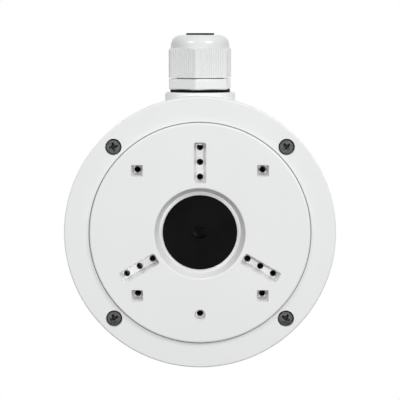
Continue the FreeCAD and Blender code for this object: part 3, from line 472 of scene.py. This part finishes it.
def add_screw(node, turn):
    """Puts a screw where the CAD screw is. Its axis runs along Y and its head faces the front."""
    low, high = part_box(node)
    seat = Vector(((low.x + high.x) / 2, low.y + HEAD_HEIGHT, (low.z + high.z) / 2))
    length = high.y - low.y - HEAD_HEIGHT
    facing_front = Matrix.Rotation(math.radians(90), 4, "X")
    spin = Matrix.Rotation(math.radians(turn), 4, "Z")
    place = Matrix.Translation(seat) @ facing_front @ spin
    stand_in_for(node, f"{node}_detailed", screw_mesh(node, length), place)


# Each screw was left at its own angle, here in degrees.
SCREW_TURNS = {
    "cover_screw_1": 12,
    "cover_screw_2": 40,
    "cover_screw_3": 24,
    "cover_screw_4": 58,
    "earth_screw": 45,
}

# Painted shade: both steels are darkened inside the cross recess of each screw.
for steel in (SCREW_STEEL, EARTH_STEEL):
    cross_mark = add_node(steel.node_tree, "ShaderNodeAttribute", attribute_name=CROSS_SHADE)
    tint(steel, cross_mark.outputs["Fac"], CROSS_SHADE_TONE)

for node, turn in SCREW_TURNS.items():
    add_screw(node, turn)


# Gland body with its real thread under the cap nut

HEX_FLAT = 15.15 * MM
HEX_CORNER = 1.5 * MM
HEX_HEIGHT = 5.5 * MM
HEX_CHAMFER = 0.5 * MM
HEX_TURN = math.radians(6.4)
INNER_STUD = 12.0 * MM
OUTER_STUD = 12.3 * MM
STUD_ABOVE_HEX = 11.5 * MM
THREAD_PITCH = 1.5 * MM
THREAD_DEPTH = 0.55 * MM
THREAD_RINGS = 14
# Steepness of the thread's flanks and how flat its root is, over one pitch.
THREAD_SLOPE = 2.4
THREAD_ROOT = 0.1
BORE = 8.5 * MM
CLAW_BORE = 9.6 * MM
CLAW_SEAT_DEPTH = 10.0 * MM
GLAND_STEPS = 288


def hexagon_ring(inset, height):
    """A ring round the hexagon with its rounded corners. inset makes it smaller."""
    flat, corner = HEX_FLAT - inset, HEX_CORNER
    sixth = math.pi / 3
    middle = (flat - corner) / math.cos(sixth / 2)
    tangent = math.atan((flat - corner) * math.tan(sixth / 2) / flat)

    def outline(angle):
        from_flat = (angle + math.pi / 2 + HEX_TURN) % sixth - sixth / 2
        if abs(from_flat) < tangent:
            return flat / math.cos(from_flat), height
        from_corner = sixth / 2 - abs(from_flat)
        rise = math.sqrt(corner ** 2 - (middle * math.sin(from_corner)) ** 2)
        return middle * math.cos(from_corner) + rise, height

    return outline


def thread_ring(height, foot, top):
    """A ring of the thread, whose profile climbs with the angle and runs out at both ends."""
    fullness = held(min(height - foot, top - height) / THREAD_PITCH)

    def outline(angle):
        phase = (height / THREAD_PITCH - angle / (2 * math.pi)) % 1.0
        crest = held(THREAD_SLOPE * abs(phase - 0.5) - THREAD_ROOT)
        return OUTER_STUD - THREAD_DEPTH * (1 - crest) * fullness, height

    return outline


def add_gland_body():
    """The hexagon and studs of the CAD gland body, with a thread on the outer stud."""
    low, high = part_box("gland_body")
    foot, stud_top = low.z, high.z
    hex_top = stud_top - STUD_ABOVE_HEX
    hex_foot = hex_top - HEX_HEIGHT
    rings = [
        level_ring(BORE, foot),
        level_ring(INNER_STUD, foot),
        level_ring(INNER_STUD, hex_foot),
        hexagon_ring(HEX_CHAMFER, hex_foot),
        hexagon_ring(0.0, hex_foot + HEX_CHAMFER),
        hexagon_ring(0.0, hex_top - HEX_CHAMFER / 2),
        hexagon_ring(HEX_CHAMFER / 4, hex_top),
        level_ring(OUTER_STUD, hex_top),
    ]
    count = round(STUD_ABOVE_HEX / THREAD_PITCH * THREAD_RINGS)
    for index in range(count + 1):
        height = hex_top + STUD_ABOVE_HEX * index / count
        rings.append(thread_ring(height, hex_top, stud_top))
    rings += [
        level_ring(CLAW_BORE, stud_top),
        level_ring(CLAW_BORE, stud_top - CLAW_SEAT_DEPTH),
        level_ring(BORE, stud_top - CLAW_SEAT_DEPTH),
    ]
    mesh = turned_mesh("gland_body_threaded", rings, GLAND_STEPS, ring_shaped=True)
    place = Matrix.Translation(Vector(((low.x + high.x) / 2, (low.y + high.y) / 2, 0)))
    stand_in_for("gland_body", "gland_body_threaded", mesh, place)


add_gland_body()


# Floor and surroundings

FLOOR_RADIUS = 0.6
FLOOR_HEIGHT = -0.25
FLOOR_STEPS = 96
FLOOR_ROUGHNESS = 0.9
FLOOR_SEEN = 0.86
FLOOR_THROWN = 0.25
FLOOR_CLEAR = 0.75

# Light from the surroundings: weak at the bottom, stronger at the top.
SKY_LOW = -0.3
SKY_HIGH = 0.9
SKY_LIGHT_LOW = 0.05
SKY_LIGHT_HIGH = 0.32

# More light comes from behind the box, but little from straight behind. Each entry is a
# direction, as a share of the way from beside the box to straight behind it, and its light.
LIGHT_BEHIND = ((0.3, 0.0), (0.6, 0.85), (0.8, 0.85), (1.0, 0.1))


def floor_material():
    """Pale floor, faint to the camera, and dim for the light that it throws back."""
    material = bpy.data.materials.new("studio_floor")
    material.use_nodes = True
    tree = material.node_tree
    shader = tree.nodes["Principled BSDF"]
    shader.inputs["Roughness"].default_value = FLOOR_ROUGHNESS
    shader.inputs["Specular IOR Level"].default_value = 0.0
    seen = tree.nodes.new("ShaderNodeLightPath").outputs["Is Camera Ray"]
    tone = blend(tree, "RGBA", seen, grey(FLOOR_THROWN), grey(FLOOR_SEEN))
    tree.links.new(tone, shader.inputs["Base Color"])
    clear = tree.nodes.new("ShaderNodeBsdfTransparent")
    mixed = tree.nodes.new("ShaderNodeMixShader")
    tree.links.new(calculate(tree, "MULTIPLY", seen, FLOOR_CLEAR), mixed.inputs[0])
    tree.links.new(shader.outputs[0], mixed.inputs[1])
    tree.links.new(clear.outputs[0], mixed.inputs[2])
    tree.links.new(mixed.outputs[0], tree.nodes["Material Output"].inputs["Surface"])
    return material


def add_floor():
    """A round floor well below the box, held clear of it as the box is on a wall."""
    mesh = bpy.data.meshes.new("studio_floor")
    form = bmesh.new()
    bmesh.ops.create_circle(form, cap_ends=True, radius=FLOOR_RADIUS, segments=FLOOR_STEPS)
    form.to_mesh(mesh)
    form.free()
    floor = bpy.data.objects.new("studio_floor", mesh)
    floor.location.z = FLOOR_HEIGHT
    mesh.materials.append(floor_material())
    bpy.context.scene.collection.objects.link(floor)


def light_behind(tree, direction):
    """The light from behind, as a ramp over the direction."""
    node = tree.nodes.new("ShaderNodeValToRGB")
    stops = node.color_ramp.elements
    for stop, (place, light) in zip(stops, (LIGHT_BEHIND[0], LIGHT_BEHIND[-1])):
        stop.position = place
        stop.color = grey(light)
    for place, light in LIGHT_BEHIND[1:-1]:
        stops.new(place).color = grey(light)
    tree.links.new(direction, node.inputs["Fac"])
    return node.outputs["Color"]


def light_world():
    """White to the camera, in reflections and through glass. Else it lights the box softly."""
    world = bpy.data.worlds.new("studio")
    bpy.context.scene.world = world
    world.use_nodes = True
    tree = world.node_tree
    background = tree.nodes["Background"]
    where = tree.nodes.new("ShaderNodeTexCoord")
    split = tree.nodes.new("ShaderNodeSeparateXYZ")
    tree.links.new(where.outputs["Generated"], split.inputs[0])
    above = add_node(
        tree,
        "ShaderNodeMapRange",
        From_Min=SKY_LOW,
        From_Max=SKY_HIGH,
        To_Min=SKY_LIGHT_LOW,
        To_Max=SKY_LIGHT_HIGH,
    )
    tree.links.new(split.outputs["Z"], above.inputs["Value"])
    light = calculate(tree, "ADD", above.outputs["Result"], light_behind(tree, split.outputs["Y"]))
    ray = tree.nodes.new("ShaderNodeLightPath")
    kinds = ("Is Camera Ray", "Is Glossy Ray", "Is Transmission Ray")
    white = combine(tree, "MAXIMUM", *(ray.outputs[kind] for kind in kinds))
    tree.links.new(blend(tree, "FLOAT", white, light, 1.0), background.inputs["Strength"])
    background.inputs["Color"].default_value = grey(1)


# Lamps and camera

LAMP_AIM = Vector((0, -0.05, 0.01))
CAMERA_SPOT = Vector((0.0025, -0.900, 0.0959))
CAMERA_AIM = Vector((0.0, -0.047, 0.0163))
VIEW_WIDTH = 0.2013
SENSOR_WIDTH = 36.0
CLIP_START = 0.05


def add_lamp(name, azimuth, elevation, distance, size, power, glints=True):
    """A square lamp that faces the middle of the box. Azimuth 0 is straight in front."""
    turn, rise = math.radians(azimuth), math.radians(elevation)
    away = Vector((math.sin(turn) * math.cos(rise), -math.cos(turn) * math.cos(rise), math.sin(rise)))
    lamp = bpy.data.lights.new(name, "AREA")
    lamp.shape = "SQUARE"
    lamp.size = size
    lamp.energy = power
    holder = bpy.data.objects.new(name, lamp)
    holder.location = LAMP_AIM + away * distance
    holder.rotation_euler = away.to_track_quat("Z", "Y").to_euler()
    holder.visible_glossy = glints
    bpy.context.scene.collection.objects.link(holder)


def add_camera():
    """Stands where the photograph was taken from, with its field of view."""
    view = CAMERA_AIM - CAMERA_SPOT
    camera = bpy.data.cameras.new("camera")
    camera.sensor_width = SENSOR_WIDTH
    camera.lens = SENSOR_WIDTH * view.length / VIEW_WIDTH
    camera.clip_start = CLIP_START
    holder = bpy.data.objects.new("camera", camera)
    holder.location = CAMERA_SPOT
    holder.rotation_euler = view.to_track_quat("-Z", "Y").to_euler()
    bpy.context.scene.collection.objects.link(holder)
    bpy.context.scene.camera = holder


add_floor()
light_world()
add_lamp("key_front", azimuth=8, elevation=10, distance=1.5, size=0.10, power=9.6, glints=False)
add_lamp("glint_right", azimuth=40, elevation=36, distance=1.3, size=0.5, power=5.6)
add_lamp("glint_left", azimuth=-40, elevation=36, distance=1.3, size=0.5, power=3.9)
add_camera()
bpy.context.scene.view_settings.view_transform = "Standard"

bpy.context.view_layer.update()
